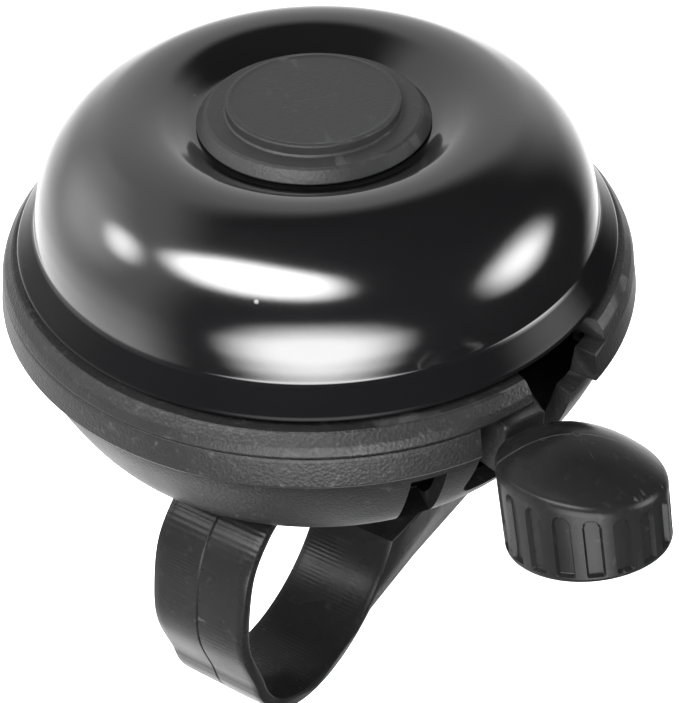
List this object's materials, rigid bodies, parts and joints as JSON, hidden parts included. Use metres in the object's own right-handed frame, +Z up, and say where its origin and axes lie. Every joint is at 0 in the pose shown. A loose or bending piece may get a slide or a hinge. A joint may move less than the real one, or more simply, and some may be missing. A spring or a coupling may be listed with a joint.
{
  "type": "bicycle bell",
  "caption": "Round bicycle bell with a stepped cap, a fluted thumb lever that spins a geared striker, and a hinged clamp for the handlebar.",
  "frame": {"origin": "centre of the handlebar that the clamp closes on", "axes": "+X along the handlebar towards the thumb lever, +Z up along the bell's axis, +Y away from the clamp's hinge"},
  "size_m": [0.0671, 0.0558, 0.0631],
  "materials": {
    "black_lacquer": "high gloss",
    "grained_plastic": "satin, grained",
    "cap_plastic": "matt, grained",
    "band_plastic": "satin, moulded",
    "gear_plastic": "satin",
    "steel": "bright",
    "brass": "satin"
  },
  "bodies": {
    "base": {"base_shell": "grained_plastic", "rim_ring": "grained_plastic", "clamp_saddle": "band_plastic", "saddle_screw_a": "steel", "saddle_screw_b": "steel", "centre_post": "steel", "dome": "black_lacquer", "dome_spacer": "steel", "dome_washer": "steel", "cap_nut": "cap_plastic", "cap_insert": "brass", "rotor_washer": "steel", "lever_pin": "steel", "lever_clip": "steel", "idler_pin": "steel", "idler_clip": "steel", "hinge_pin": "steel", "clamp_nut": "steel"},
    "lever": {"thumb_lever": "grained_plastic", "thumb_knob": "band_plastic", "return_spring": "steel"},
    "idler": {"idler_gear": "gear_plastic"},
    "striker": {"rotor": "gear_plastic", "clapper_clip_a": "steel", "clapper_clip_b": "steel"},
    "clapper_a": {"clapper_a": "steel"},
    "clapper_b": {"clapper_b": "steel"},
    "band": {"clamp_band": "band_plastic"},
    "screw": {"clamp_screw": "steel"}
  },
  "joints": [
    {"name": "lever_swing", "type": "hinge", "parent": "base", "child": "lever", "pos_m": [0.0121, 0.00137, 0.03], "axis": [0, 0, 1], "range_deg": [0, 18], "stiffness_Nm_per_rad": 0.02, "springref_deg": -17.19, "deforming": ["return_spring"]},
    {"name": "idler_spin", "type": "hinge", "parent": "base", "child": "idler", "pos_m": [0.00656, 0.01574, 0.03], "axis": [0, 0, 1], "range_deg": [-81.5, 0.5]},
    {"name": "striker_spin", "type": "hinge", "parent": "base", "child": "striker", "pos_m": [-0.002, 0.0065, 0.03], "axis": [0, 0, 1], "range_deg": [-1, 211.5]},
    {"name": "clapper_a_slide", "type": "slide", "parent": "striker", "child": "clapper_a", "axis": [1, 0, 0], "range_m": [0, 0.0016]},
    {"name": "clapper_b_slide", "type": "slide", "parent": "striker", "child": "clapper_b", "axis": [-1, 0, 0], "range_m": [0, 0.0016]},
    {"name": "band_swing", "type": "hinge", "parent": "base", "child": "band", "pos_m": [0, -0.0098, 0.0149], "axis": [1, 0, 0], "range_deg": [0, 10.5]},
    {"name": "screw_travel", "type": "slide", "parent": "band", "child": "screw", "axis": [0, 0.1822, 0.9833], "range_m": [-0.006, 0]}
  ],
  "couplings": [
    {"joint": "idler_spin", "follows": "lever_swing", "ratio": -4.5},
    {"joint": "striker_spin", "follows": "lever_swing", "ratio": 11.7}
  ]
}
